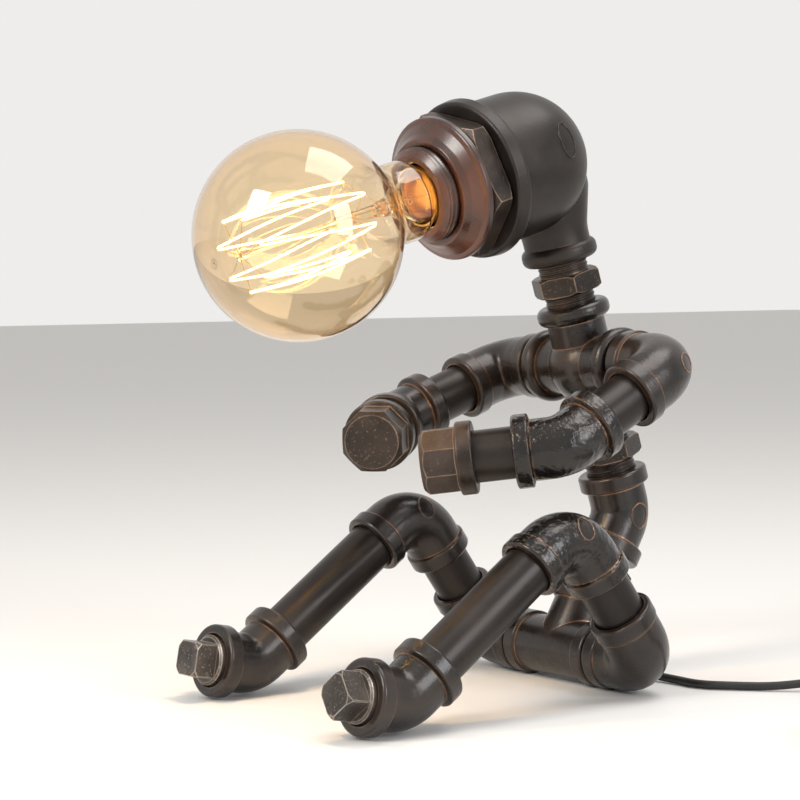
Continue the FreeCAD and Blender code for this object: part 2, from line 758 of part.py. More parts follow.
def stadium(length, width, low, high, round_edge):
    """Upright slab with half round ends and rounded outer edges."""
    r = width / 2
    run = length / 2 - r
    a = V(-run, -r, low)
    b = V(run, -r, low)
    c = V(run, r, low)
    d = V(-run, r, low)
    edges = [Part.LineSegment(a, b).toShape(), Part.Arc(b, V(length / 2, 0, low), c).toShape(),
             Part.LineSegment(c, d).toShape(), Part.Arc(d, V(-length / 2, 0, low), a).toShape()]
    slab = Part.Face(Part.Wire(edges)).extrude(V(0, 0, high - low))
    if not round_edge:
        return slab
    rims = [e for e in slab.Edges if abs(e.BoundBox.ZMin - round_edge[0]) < 1e-6
            and abs(e.BoundBox.ZMax - round_edge[0]) < 1e-6]
    return slab.makeFillet(round_edge[1], rims)


def switch_base():
    """Lower half of the switch's case, an open tray."""
    solid = stadium(switch_len, switch_wide, 0, switch_split, (0, 1.6))
    flat_end = [Part.makeBox(2, 30, 20, V(x, -15, -1)) for x in (-switch_len / 2 - 2, switch_len / 2)]
    room = stadium(switch_len - 2 * switch_wall - 4, switch_wide - 2 * switch_wall, switch_wall, switch_split + 1,
                   None)
    return placed(cut(solid, [room] + flat_end), switch_at, V(0, 0, 1), switch_dir)


def switch_cover():
    """Upper half with the rocker's window and the two pivot holes."""
    solid = stadium(switch_len, switch_wide, switch_split, switch_high, (switch_high, 2.4))
    room = stadium(switch_len - 2 * switch_wall - 4, switch_wide - 2 * switch_wall, switch_split - 1,
                   switch_high - switch_wall, None)
    window = Part.makeBox(rocker_len + 1.6, rocker_wide + 0.8, 10,
                          V(-rocker_len / 2 - 0.8, -rocker_wide / 2 - 0.4, switch_high - 5))
    walls = [Part.makeBox(9, 2.0, 6.0, V(-4.5, side * (rocker_wide / 2 + 1.4) - 1.0, switch_high - 6.4))
             for side in (-1, 1)]
    hole = Part.makeCylinder(rocker_pin_r + screw_play, 20, V(0, -10, switch_high - 3.2), V(0, 1, 0))
    shape = solid.cut(room).fuse(walls).cut(window).cut(hole.common(
        Part.makeBox(20, rocker_wide + 4.8, 20, V(-10, -rocker_wide / 2 - 2.4, 0))))
    return placed(shape, switch_at, V(0, 0, 1), switch_dir)


def switch_rocker():
    """Rocker with a dished top, pressed down at one end."""
    half = rocker_len / 2
    a = V(-half, 0, -2.2)
    profile = [Part.LineSegment(a, V(-half, 0, 2.6)).toShape(),
               Part.Arc(V(-half, 0, 2.6), V(0, 0, 1.0), V(half, 0, 2.6)).toShape(),
               Part.LineSegment(V(half, 0, 2.6), V(half, 0, -2.2)).toShape(),
               Part.Arc(V(half, 0, -2.2), V(0, 0, -3.4), a).toShape()]
    body = Part.Face(Part.Wire(profile)).extrude(V(0, rocker_wide, 0))
    body.translate(V(0, -rocker_wide / 2, 0))
    pin = Part.makeCylinder(rocker_pin_r, rocker_wide + 4.4, V(0, -rocker_wide / 2 - 2.2, 0), V(0, 1, 0))
    shape = body.fuse(pin)
    shape.rotate(V(0, 0, 0), V(0, 1, 0), rocker_tilt)
    shape.translate(V(0, 0, switch_high - 3.2))
    return placed(shape, switch_at, V(0, 0, 1), switch_dir)


# Coil of the lead's put away length

coil_pitch = 2 * lead_r + coil_gap
coil_out_r = coil_mean_r + coil_pitch * coil_layer_turns / 2
coil_in_r = coil_mean_r - coil_pitch * coil_layer_turns / 2
coil_dir = V(switch_dir.y, -switch_dir.x, 0)
coil_from = switch_out + switch_dir * coil_ahead + coil_dir * coil_aside
coil_side = switch_dir * -1
coil_at = coil_from + coil_side * coil_out_r
coil_base = V(coil_at.x, coil_at.y, lead_r)
climb_turns = 0.5


def coil_place(turn):
    """Point of the coil's middle line after a number of turns."""
    spell = coil_layer_turns + climb_turns
    layer = min(int(turn / spell + 1e-9), coil_layers - 1)
    along = turn - layer * spell
    inward = layer % 2 == 0
    first, last = (coil_out_r, coil_in_r) if inward else (coil_in_r, coil_out_r)
    if along <= coil_layer_turns or layer == coil_layers - 1:
        r = first + (last - first) * along / coil_layer_turns
        z = layer * coil_pitch
    else:
        part = (along - coil_layer_turns) / climb_turns
        swing = 0.2 * coil_pitch * math.sin(math.pi * part)
        r = last - swing if inward else last + swing
        z = (layer + (1 - math.cos(math.pi * part)) / 2) * coil_pitch
    angle = -2 * math.pi * turn
    spoke = coil_side * -math.cos(angle) - coil_dir * math.sin(angle)
    return coil_base + spoke * r + V(0, 0, z)


def coil_heading(turn):
    step = 0.002
    return norm(coil_place(turn + step) - coil_place(turn - step))


def corner_arc(start, corner, end):
    """Arc that leaves start and reaches end, tangent to the corner's two sides."""
    u = norm(start - corner)
    w = norm(end - corner)
    half = u.getAngle(w) / 2
    radius = (start - corner).Length * math.tan(half)
    mid = corner + norm(u + w) * (radius / math.sin(half) - radius)
    return Part.Arc(start, mid, end).toShape()


def biarc(start, leaving, end, arriving):
    """Two arcs, tangent to each other and to the given headings."""
    v = end - start
    both = leaving + arriving
    a = 2 * (leaving.dot(arriving) - 1)
    b = -2 * v.dot(both)
    c = v.dot(v)
    reach = (-b - math.sqrt(b * b - 4 * a * c)) / (2 * a)
    first = start + leaving * reach
    second = end - arriving * reach
    joint = (first + second) * 0.5
    return [corner_arc(start, first, joint), corner_arc(joint, second, end)]


def cord_coil():
    """The wound lead: in and out again on four layers, climbing where it reverses."""
    total = coil_turns
    steps = round(total * 4)
    places = [coil_place(total * i / steps) for i in range(steps + 1)]
    heads = [coil_heading(min(max(total * i / steps, 0.002), total - 0.002)) for i in range(steps + 1)]
    lead_in = places[0] - heads[0] * (2 * lead_r)
    lead_out = places[-1] + heads[-1] * (2 * lead_r)
    edges = [Part.LineSegment(lead_in, places[0]).toShape()]
    for i in range(steps):
        edges += biarc(places[i], heads[i], places[i + 1], heads[i + 1])
    edges.append(Part.LineSegment(places[-1], lead_out).toShape())
    path = Part.Wire(edges)
    disc = Part.Wire(Part.makeCircle(lead_r, lead_in, heads[0]))
    solid = path.makePipeShell([disc], True, False)
    samples = [coil_place(total * i / 400) for i in range(401)]
    apart = 400 / total * 0.6
    least = min((samples[i] - samples[j]).Length for i in range(401) for j in range(i + 1, 401) if j - i > apart)
    print("cord_coil length", round(path.Length, 1), "least gap", round(least - 2 * lead_r, 2),
          "volume ratio", round(solid.Volume / (math.pi * lead_r ** 2 * path.Length), 4))
    return solid, path.Length, lead_in, heads[0], lead_out, heads[-1]


# Two pin plug lying beside the coil

plug_dir = norm(V(0.35, -0.937, 0))

def plug_parts(at, along):
    """Flat two pin plug: moulded body with its tapered neck, and the pins."""
    body = Part.makeBox(plug_len - 12.0, plug_wide, plug_thick, V(12.0, -plug_wide / 2, -plug_thick / 2))
    upright = [e for e in body.Edges if abs(e.BoundBox.ZLength - plug_thick) < 1e-6]
    body = body.makeFillet(4.0, upright)
    neck = turned([(0, 0), (0, 2.8, 0.6), (14.0, 5.6), (14.0, 0)])
    shape = body.fuse(placed(neck, V(0, 0, 0), V(1, 0, 0)))
    holes = [Part.makeCylinder(pin_root_r, pin_root_len, V(plug_len - pin_root_len, y, 0), V(1, 0, 0)) for y in
             (-pin_apart / 2, pin_apart / 2)]
    pins = [turned([(-pin_root_len, 0), (-pin_root_len, pin_root_r), (0, pin_root_r), (0, pin_r),
                    (pin_len - 1.2, pin_r), (pin_len, pin_r - 1.0), (pin_len, 0)]) for side in (0, 1)]
    pins = [placed(p, V(plug_len, y, 0), V(1, 0, 0)) for p, y in zip(pins, (-pin_apart / 2, pin_apart / 2))]
    turn = FreeCAD.Placement(at, FreeCAD.Rotation(along, V(0, 0, 1).cross(along), V(0, 0, 1), "ZXY"))
    made = []
    for item in (cut(shape, holes), Part.makeCompound(pins)):
        item.Placement = turn.multiply(item.Placement)
        made.append(item)
    return made


def build():
    parts = {"hip_tee": hip_tee(spine_dir, gland_at, gland_dir)}
    for side, name in ((1, "left"), (-1, "right")):
        leg(side, parts, name)
    arm(1, parts, "left", left_drop, left_roll, left_fore_show)
    arm(-1, parts, "right", right_drop, right_roll, right_fore_show)
    parts["spine_hex_nipple"] = hex_nipple(hip + spine_dir * (tee_reach - grip), spine_dir, spine_show + 2 * grip,
                                           norm(V(1, 0.2, 0)))
    parts["spine_elbow"] = elbow(waist_at, spine_dir * -1, torso_dir, bend45_reach, elbow_r, bend45_bend,
                                 bend45_band_r)
    parts["waist_hex_nipple"] = hex_nipple(waist_at + torso_dir * (bend45_reach - grip), torso_dir,
                                           waist_show + 2 * grip, norm(V(1, 0.5, 0)))
    parts["torso_cross"] = torso_cross()
    parts["neck_hex_nipple"] = hex_nipple(chest_at + torso_dir * (cross_reach - grip), torso_dir,
                                          neck_show + 2 * grip - turn_play, norm(V(1, 0.1, 0)))
    parts["head_elbow"] = head_elbow()
    parts["head_bush"] = head_bush()
    for make in (shade_ring, holder_shell, holder_cap, holder_insert, screw_shell, holder_contact, bulb_globe,
                 bulb_cap, bulb_insulator, bulb_contact, bulb_stem, bulb_filament, bulb_supports, inner_lead,
                 head_lead, cord_gland, switch_base, switch_cover, switch_rocker):
        parts[make.__name__] = make()
    parts["cord_free"], free_len = tube(free_points, lead_r, "cord_free")
    coil, coil_len, coil_in, coil_in_dir, coil_out, coil_out_dir = cord_coil()
    parts["cord_coil"] = coil
    link = [switch_out, switch_out + switch_dir * 14.0 - V(0, 0, 0.7),
            switch_out + switch_dir * 25.5 + coil_dir * 11.5 - V(0, 0, 2.6),
            switch_out + switch_dir * 25.9 + coil_dir * 25.0 - V(0, 0, switch_axis_z - lead_r), coil_in]
    parts["cord_link"], link_len = tube(link, lead_r, "cord_link")
    lower = coil_out + coil_out_dir * 11.0 - V(0, 0, 0.95)
    beside = lower + V(-2.9, -12.7, -5.7)
    plug_in = beside + plug_dir * 11.0
    plug_in.z = plug_thick / 2
    tail = [coil_out, lower, beside, plug_in]
    parts["cord_tail"], tail_len = tube(tail, lead_r, "cord_tail")
    parts["plug_body"], parts["plug_pins"] = plug_parts(plug_in, plug_dir)
    whole = free_len + switch_len + link_len + coil_len + tail_len
    print("whole lead", round(whole, 1))
    return parts


def main():
    parts = build()
    on_cord = ("cord_free", "cord_link", "cord_coil", "cord_tail", "switch_base", "switch_cover",
               "switch_rocker", "plug_body", "plug_pins", "cord_gland")
    box = FreeCAD.BoundBox()
    for name, shape in parts.items():
        if name not in on_cord:
            box.add(shape.optimalBoundingBox(False))
    shift = V(-box.Center.x, -box.Center.y, -box.ZMin)
    print("moved by", shift, "box", box)
    os.makedirs("parts", exist_ok=True)
    for name, shape in parts.items():
        shape.translate(shift)
        if not shape.isValid():
            print("invalid", name)
        shape.exportStep("parts/" + name + ".step")


main()
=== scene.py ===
import math

import bmesh
import bpy
from mathutils import Matrix, Vector
from mathutils.bvhtree import BVHTree


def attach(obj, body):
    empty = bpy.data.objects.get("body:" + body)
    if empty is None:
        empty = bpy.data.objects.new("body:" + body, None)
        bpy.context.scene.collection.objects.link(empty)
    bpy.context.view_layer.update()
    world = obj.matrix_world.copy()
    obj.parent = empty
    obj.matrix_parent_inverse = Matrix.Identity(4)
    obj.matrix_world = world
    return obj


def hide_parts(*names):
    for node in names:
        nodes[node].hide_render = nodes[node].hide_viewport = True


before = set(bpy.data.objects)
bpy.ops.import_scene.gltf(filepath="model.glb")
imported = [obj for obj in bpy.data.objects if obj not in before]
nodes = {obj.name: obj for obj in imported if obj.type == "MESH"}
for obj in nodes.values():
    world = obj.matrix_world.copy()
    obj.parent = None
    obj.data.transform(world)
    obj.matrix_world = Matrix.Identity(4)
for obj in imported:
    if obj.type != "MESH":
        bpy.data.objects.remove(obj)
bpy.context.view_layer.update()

# Viewpoint: a long lens a little above the table, on the figure's left front.
# It stands about a metre from the lamp, level with the top of the chest.
camera_data = bpy.data.cameras.new("viewpoint")
camera_data.lens = 112.268
camera_data.sensor_width = 36.0
camera = bpy.data.objects.new("viewpoint", camera_data)
bpy.context.scene.collection.objects.link(camera)
view_right = Vector((0.57497638, 0.81815053, -0.00564635))
view_up = Vector((-0.04126334, 0.03588991, 0.99850351))
view_back = Vector((0.81712882, -0.57388294, 0.05439547))
view_eye = Vector((0.836303, -0.606301, 0.179695))
camera.matrix_world = Matrix((
    (view_right.x, view_up.x, view_back.x, view_eye.x),
    (view_right.y, view_up.y, view_back.y, view_eye.y),
    (view_right.z, view_up.z, view_back.z, view_eye.z),
    (0, 0, 0, 1)))
bpy.context.scene.camera = camera
bpy.context.scene.view_settings.view_transform = "Standard"


# Table top and room: a pale plain sheet under the lamp and a white surround.
# Both are staging, not part of the lamp, and are seen white by the eye, by gloss and through glass.
def new_material(name):
    material = bpy.data.materials.new(name)
    material.use_nodes = True
    tree = material.node_tree
    return material, tree, tree.nodes["Principled BSDF"]


def add_node(tree, kind, **settings):
    node = tree.nodes.new(kind)
    for key, value in settings.items():
        setattr(node, key, value)
    return node


floor_half = 6.0
floor_mesh = bpy.data.meshes.new("table_top")
floor_mesh.from_pydata([(-floor_half, -floor_half, -0.0002), (floor_half, -floor_half, -0.0002),
                        (floor_half, floor_half, -0.0002), (-floor_half, floor_half, -0.0002)],
                       [], [(0, 1, 2, 3)])
floor = bpy.data.objects.new("table_top", floor_mesh)
bpy.context.scene.collection.objects.link(floor)
floor_paint, tree, shader = new_material("pale_table_top")
shader.inputs["Base Color"].default_value = (0.78, 0.765, 0.745, 1)
shader.inputs["Roughness"].default_value = 0.62
floor_mesh.materials.append(floor_paint)

world = bpy.data.worlds.new("room")
bpy.context.scene.world = world
world.use_nodes = True
tree = world.node_tree
surround = tree.nodes["Background"]
path = add_node(tree, "ShaderNodeLightPath")
seen = add_node(tree, "ShaderNodeMath", operation="MAXIMUM")
shown = add_node(tree, "ShaderNodeMath", operation="MAXIMUM")
level = add_node(tree, "ShaderNodeMapRange")
level.inputs["To Min"].default_value = 0.60
level.inputs["To Max"].default_value = 0.86
tree.links.new(path.outputs["Is Camera Ray"], seen.inputs[0])
tree.links.new(path.outputs["Is Transmission Ray"], seen.inputs[1])
tree.links.new(seen.outputs[0], shown.inputs[0])
tree.links.new(path.outputs["Is Glossy Ray"], shown.inputs[1])
tree.links.new(shown.outputs[0], level.inputs["Value"])
tree.links.new(level.outputs["Result"], surround.inputs["Strength"])
surround.inputs["Color"].default_value = (1.0, 0.985, 0.965, 1)


def soft_lamp(name, place, aim, wide, tall, power, colour):
    """Rectangular soft lamp that shines from one point towards another."""
    data = bpy.data.lights.new(name, "AREA")
    data.shape = "RECTANGLE"
    data.size = wide
    data.size_y = tall
    data.energy = power
    data.color = colour
    lamp = bpy.data.objects.new(name, data)
    bpy.context.scene.collection.objects.link(lamp)
    lamp.location = place
    lamp.rotation_mode = "QUATERNION"
    lamp.rotation_quaternion = (Vector(aim) - Vector(place)).to_track_quat("-Z", "Y")
    lamp.visible_camera = False
    return lamp


soft_lamp("key_lamp", (0.15, -1.25, 0.95), (0.0, 0.0, 0.12), 0.5, 0.6, 13.0, (1.0, 0.97, 0.93))
soft_lamp("top_lamp", (0.25, 0.35, 1.35), (0.0, 0.0, 0.1), 0.9, 0.7, 9.0, (1.0, 0.98, 0.96))
soft_lamp("side_lamp", (1.25, 0.35, 0.55), (0.0, 0.0, 0.1), 0.45, 0.7, 7.0, (0.97, 0.98, 1.0))


# Mains lead: a round black two core flex, 3.6 mm across and 1.75 m long.
# It leaves its strain relief behind the hips, runs to the in-line switch, then lies wound to the plug.
lead_r = 0.0018
outlet = (0.01766, 0.08967, 0.00399)
free_run = [outlet, (0.02568, 0.09539, 0.00228), (0.03711, 0.09764, 0.00180), (0.05311, 0.09684, 0.00180),
            (0.06461, 0.10664, 0.00180), (0.07511, 0.11744, 0.00180), (0.08461, 0.12684, 0.00340),
            (0.09387, 0.13557, 0.00560)]
link_run = [(0.13575, 0.17570, 0.00560), (0.14586, 0.18539, 0.00490), (0.16212, 0.18505, 0.00300),
            (0.17174, 0.17558, 0.00180), (0.17979, 0.16680, 0.00180)]
tail_run = [(0.17815, 0.12439, 0.01425), (0.17051, 0.11648, 0.01330), (0.16761, 0.10378, 0.00760),
            (0.17146, 0.09348, 0.00680)]
wound_at = Vector((0.162840, 0.145573, lead_r))
wound_along = Vector((0.691905, -0.721988, 0.0))
wound_across = Vector((-0.721988, -0.691905, 0.0))
wound_pitch = 0.00415
wound_out_r = 0.0267875
wound_in_r = 0.0164125
wound_turns = 2.5
wound_climb = 0.5
wound_layers = 4
turns_in_all = 11.25


def wound_place(turn):
    """Point of the wound lead's middle line after a number of turns."""
    spell = wound_turns + wound_climb
    layer = min(int(turn / spell + 1e-9), wound_layers - 1)
    along = turn - layer * spell
    inward = layer % 2 == 0
    first, last = (wound_out_r, wound_in_r) if inward else (wound_in_r, wound_out_r)
    if along <= wound_turns or layer == wound_layers - 1:
        r = first + (last - first) * along / wound_turns
        z = layer * wound_pitch
    else:
        part = (along - wound_turns) / wound_climb
        swing = 0.2 * wound_pitch * math.sin(math.pi * part)
        r = last - swing if inward else last + swing
        z = (layer + (1 - math.cos(math.pi * part)) / 2) * wound_pitch
    angle = -2 * math.pi * turn
    spoke = wound_across * -math.cos(angle) - wound_along * math.sin(angle)
    return wound_at + spoke * r + Vector((0, 0, z))


places_in_all = round(turns_in_all * 12)
lead_line = [Vector(p) for p in free_run + link_run]
lead_line += [wound_place(turns_in_all * i / places_in_all) for i in range(places_in_all + 1)]
lead_line += [Vector(p) for p in tail_run]


def curve_piece(name, lines, r, material, rounded=False):
    """One curve object with a round section along each line of points."""
    data = bpy.data.curves.new(name, "CURVE")
    data.dimensions = "3D"
    data.bevel_depth = r
    data.bevel_resolution = 3
    data.use_fill_caps = True
    for line in lines:
        spline = data.splines.new("NURBS" if rounded else "POLY")
        spline.points.add(len(line) - 1)
        for point, at in zip(spline.points, line):
            point.co = (*at, 1)
        if rounded:
            spline.order_u = 3
            spline.use_endpoint_u = True
            spline.resolution_u = 6
    data.materials.append(material)
    piece = bpy.data.objects.new(name, data)
    bpy.context.scene.collection.objects.link(piece)
    return piece


# Patchy tone and small grain that every painted, cast or moulded surface of the lamp shares.
# Tone wanders slowly over the piece, grain is the fine height of its skin.
def shader_group(name, inputs, outputs):
    group = bpy.data.node_groups.new(name, "ShaderNodeTree")
    for label, value in inputs:
        socket = group.interface.new_socket(label, in_out="INPUT", socket_type="NodeSocketFloat")
        socket.default_value = value
    for label, kind in outputs:
        group.interface.new_socket(label, in_out="OUTPUT", socket_type=kind)
    return group, group.nodes.new("NodeGroupInput"), group.nodes.new("NodeGroupOutput")


skin_group, ins, outs = shader_group(
    "skin", [("Tone Scale", 60.0), ("Grain Scale", 700.0), ("Lump Scale", 260.0), ("Lump Share", 0.5)],
    [("Tone", "NodeSocketFloat"), ("Height", "NodeSocketFloat"), ("Specks", "NodeSocketFloat")])
where = add_node(skin_group, "ShaderNodeTexCoord")
wander = add_node(skin_group, "ShaderNodeTexNoise")
wander.inputs["Detail"].default_value = 4.0
grain = add_node(skin_group, "ShaderNodeTexNoise")
grain.inputs["Detail"].default_value = 3.0
lump = add_node(skin_group, "ShaderNodeTexNoise")
lump.inputs["Detail"].default_value = 1.5
for texture, label in ((wander, "Tone Scale"), (grain, "Grain Scale"), (lump, "Lump Scale")):
    skin_group.links.new(where.outputs["Object"], texture.inputs["Vector"])
    skin_group.links.new(ins.outputs[label], texture.inputs["Scale"])
spread = add_node(skin_group, "ShaderNodeMapRange")
spread.inputs["From Min"].default_value = 0.36
spread.inputs["From Max"].default_value = 0.66
skin_group.links.new(wander.outputs["Fac"], spread.inputs["Value"])
skin_group.links.new(spread.outputs["Result"], outs.inputs["Tone"])
both = add_node(skin_group, "ShaderNodeMix")
skin_group.links.new(ins.outputs["Lump Share"], both.inputs["Factor"])
skin_group.links.new(grain.outputs["Fac"], both.inputs["A"])
skin_group.links.new(lump.outputs["Fac"], both.inputs["B"])
skin_group.links.new(both.outputs["Result"], outs.inputs["Height"])
speck = add_node(skin_group, "ShaderNodeMapRange")
speck.inputs["From Min"].default_value = 0.60
speck.inputs["From Max"].default_value = 0.74
skin_group.links.new(grain.outputs["Fac"], speck.inputs["Value"])
skin_group.links.new(speck.outputs["Result"], outs.inputs["Specks"])


# Rubbed edges: handling takes the dark finish off every rim and corner of the fittings.
# The mask is strongest where a surface turns sharply and fades in patches along it.
rub_group, ins, outs = shader_group(
    "rubbed_edge", [("Width", 0.0009), ("Patch Scale", 90.0), ("Cover", 0.5)], [("Rub", "NodeSocketFloat")])
rounder = add_node(rub_group, "ShaderNodeBevel", samples=6)
rub_group.links.new(ins.outputs["Width"], rounder.inputs["Radius"])
facing = add_node(rub_group, "ShaderNodeNewGeometry")
likeness = add_node(rub_group, "ShaderNodeVectorMath", operation="DOT_PRODUCT")
rub_group.links.new(rounder.outputs["Normal"], likeness.inputs[0])
rub_group.links.new(facing.outputs["Normal"], likeness.inputs[1])
sharp = add_node(rub_group, "ShaderNodeMapRange")
sharp.inputs["From Min"].default_value = 0.995
sharp.inputs["From Max"].default_value = 0.90
rub_group.links.new(likeness.outputs["Value"], sharp.inputs["Value"])
where = add_node(rub_group, "ShaderNodeTexCoord")
patch = add_node(rub_group, "ShaderNodeTexNoise")
patch.inputs["Detail"].default_value = 5.0
patch.inputs["Roughness"].default_value = 0.65
rub_group.links.new(where.outputs["Object"], patch.inputs["Vector"])
rub_group.links.new(ins.outputs["Patch Scale"], patch.inputs["Scale"])
shifted = add_node(rub_group, "ShaderNodeMath", operation="ADD")
rub_group.links.new(patch.outputs["Fac"], shifted.inputs[0])
rub_group.links.new(ins.outputs["Cover"], shifted.inputs[1])
kept = add_node(rub_group, "ShaderNodeMapRange")
kept.inputs["From Min"].default_value = 0.85
kept.inputs["From Max"].default_value = 1.15
rub_group.links.new(shifted.outputs[0], kept.inputs["Value"])
product = add_node(rub_group, "ShaderNodeMath", operation="MULTIPLY")
rub_group.links.new(sharp.outputs["Result"], product.inputs[0])
rub_group.links.new(kept.outputs["Result"], product.inputs[1])
rub_group.links.new(product.outputs[0], outs.inputs["Rub"])


def finish_of(name, dark, light, rubbed, rough, grain=700.0, lumps=260.0, lump_share=0.5, depth=0.00012,
              metal=0.35, cover=0.5, width=0.0009, rub_rough=0.32, speck_light=0.0, tone_scale=60.0,
              coat=0.0):
    """Painted, cast or moulded finish: two tones of skin, its bump, and a rubbed colour along the edges."""
    material, tree, shader = new_material(name)
    skin = add_node(tree, "ShaderNodeGroup", node_tree=skin_group)
    skin.inputs["Tone Scale"].default_value = tone_scale
    skin.inputs["Grain Scale"].default_value = grain
    skin.inputs["Lump Scale"].default_value = lumps
    skin.inputs["Lump Share"].default_value = lump_share
    rub = add_node(tree, "ShaderNodeGroup", node_tree=rub_group)
    rub.inputs["Width"].default_value = width
    rub.inputs["Cover"].default_value = cover
    tones = add_node(tree, "ShaderNodeMix", data_type="RGBA")
    tones.inputs["A"].default_value = (*dark, 1)
    tones.inputs["B"].default_value = (*light, 1)
    tree.links.new(skin.outputs["Tone"], tones.inputs["Factor"])
    specks = add_node(tree, "ShaderNodeMath", operation="MULTIPLY")
    specks.inputs[1].default_value = speck_light
    tree.links.new(skin.outputs["Specks"], specks.inputs[0])
    bare = add_node(tree, "ShaderNodeMath", operation="MAXIMUM")
    tree.links.new(rub.outputs["Rub"], bare.inputs[0])
    tree.links.new(specks.outputs[0], bare.inputs[1])
    colour = add_node(tree, "ShaderNodeMix", data_type="RGBA")
    tree.links.new(bare.outputs[0], colour.inputs["Factor"])
    tree.links.new(tones.outputs["Result"], colour.inputs["A"])
    colour.inputs["B"].default_value = (*rubbed, 1)
    tree.links.new(colour.outputs["Result"], shader.inputs["Base Color"])
    shine = add_node(tree, "ShaderNodeMapRange")
    shine.inputs["To Min"].default_value = rough * 0.85
    shine.inputs["To Max"].default_value = rough * 1.2
    tree.links.new(skin.outputs["Tone"], shine.inputs["Value"])
    worn = add_node(tree, "ShaderNodeMix")
    tree.links.new(bare.outputs[0], worn.inputs["Factor"])
    tree.links.new(shine.outputs["Result"], worn.inputs["A"])
    worn.inputs["B"].default_value = rub_rough
    tree.links.new(worn.outputs["Result"], shader.inputs["Roughness"])
    metals = add_node(tree, "ShaderNodeMapRange")
    metals.inputs["To Min"].default_value = metal
    metals.inputs["To Max"].default_value = max(metal, 0.85) if metal > 0 else 0.0
    tree.links.new(bare.outputs[0], metals.inputs["Value"])
    tree.links.new(metals.outputs["Result"], shader.inputs["Metallic"])
    if coat:
        shader.inputs["Coat Weight"].default_value = coat
        shader.inputs["Coat Roughness"].default_value = 0.18
    relief = add_node(tree, "ShaderNodeBump")
    relief.inputs["Distance"].default_value = depth
    relief.inputs["Strength"].default_value = 1.0
    tree.links.new(skin.outputs["Height"], relief.inputs["Height"])
    tree.links.new(relief.outputs["Normal"], shader.inputs["Normal"])
    return material


def wear(material, *names):
    """Gives CAD nodes a finish in every one of their slots."""
    for name in names:
        mesh = nodes[name].data
        mesh.materials.clear()
        mesh.materials.append(material)


lead_finish = finish_of("lead_sheath", (0.010, 0.010, 0.010), (0.018, 0.017, 0.016), (0.03, 0.03, 0.03), 0.42,
                        grain=900.0, depth=0.00002, metal=0.0, cover=0.2, rub_rough=0.4)
lead = curve_piece("lead_outside", [lead_line], lead_r, lead_finish, rounded=True)
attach(lead, "stand")
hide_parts("cord_free", "cord_link", "cord_coil", "cord_tail")
wear(lead_finish, "cord_gland", "inner_lead", "head_lead")


# In-line switch and plug: black moulded cases, a dished rocker, nickel plated pins.
# The two halves of the switch snap together round the lead, the plug is moulded on.
case_finish = finish_of("moulded_case", (0.012, 0.012, 0.012), (0.020, 0.019, 0.018), (0.05, 0.05, 0.05), 0.34,
                        grain=1400.0, depth=0.000015, metal=0.0, cover=0.15, rub_rough=0.3)
rocker_finish = finish_of("rocker_top", (0.02, 0.02, 0.02), (0.03, 0.03, 0.03), (0.09, 0.09, 0.09), 0.24,
                          grain=1600.0, depth=0.00001, metal=0.0, cover=0.25, rub_rough=0.2)
pin_finish = finish_of("plated_pins", (0.62, 0.60, 0.56), (0.72, 0.70, 0.66), (0.85, 0.83, 0.8), 0.24,
                       grain=1800.0, depth=0.00001, metal=1.0, cover=0.3, rub_rough=0.18)
wear(case_finish, "switch_base", "switch_cover", "plug_body")
wear(rocker_finish, "switch_rocker")
wear(pin_finish, "plug_pins")


# Cast fittings: malleable iron elbows, tee and cross, painted a dark brown bronze.
# Their skin keeps the sand's grain, and their banded rims are rubbed to copper.
dark_bronze = (0.0085, 0.0068, 0.0060)
warm_bronze = (0.026, 0.018, 0.0145)
copper_rub = (0.46, 0.24, 0.13)
cast_finish = finish_of("cast_bronze", dark_bronze, warm_bronze, copper_rub, 0.30, grain=650.0, lumps=230.0,
                        lump_share=0.45, depth=0.00022, metal=0.30, cover=0.54, width=0.0012,
                        rub_rough=0.32, coat=0.25)
lumpy_finish = finish_of("cast_lumpy", (0.008, 0.007, 0.0065), (0.022, 0.017, 0.014), copper_rub, 0.20,
                         grain=520.0, lumps=330.0, lump_share=0.8, depth=0.0010, metal=0.5, cover=0.54,
                         width=0.0012, rub_rough=0.3, coat=0.4)
smooth_finish = finish_of("cast_smooth", (0.015, 0.012, 0.0105), (0.030, 0.023, 0.019), copper_rub, 0.38,
                          grain=800.0, lumps=120.0, lump_share=0.35, depth=0.00008, metal=0.4, cover=0.36,
                          rub_rough=0.36)
wear(cast_finish, "hip_tee", "torso_cross", "spine_elbow", "left_hip_elbow", "right_hip_elbow",
     "left_shoulder_elbow", "right_shoulder_elbow", "right_forearm_elbow", "left_ankle_elbow",
     "right_ankle_elbow", "right_knee_elbow")
wear(lumpy_finish, "left_forearm_elbow", "left_knee_elbow")
wear(smooth_finish, "head_elbow")


# Pipes and nipples: drawn steel tube in the same dark finish, smoother than the castings.
# Long soft highlights run down them, a little browner where hands have been.
pipe_finish = finish_of("drawn_pipe", (0.012, 0.0095, 0.0085), (0.027, 0.020, 0.016), (0.20, 0.11, 0.07), 0.33,
                        grain=1300.0, lumps=420.0, lump_share=0.2, depth=0.000035, metal=0.45, cover=0.35,
                        rub_rough=0.3, tone_scale=28.0)
wear(pipe_finish, *[side + "_" + piece for side in ("left", "right") for piece in
                    ("hip_nipple", "thigh_nipple", "shin_pipe", "shoulder_nipple", "upper_arm_nipple",
                     "forearm_nipple")])


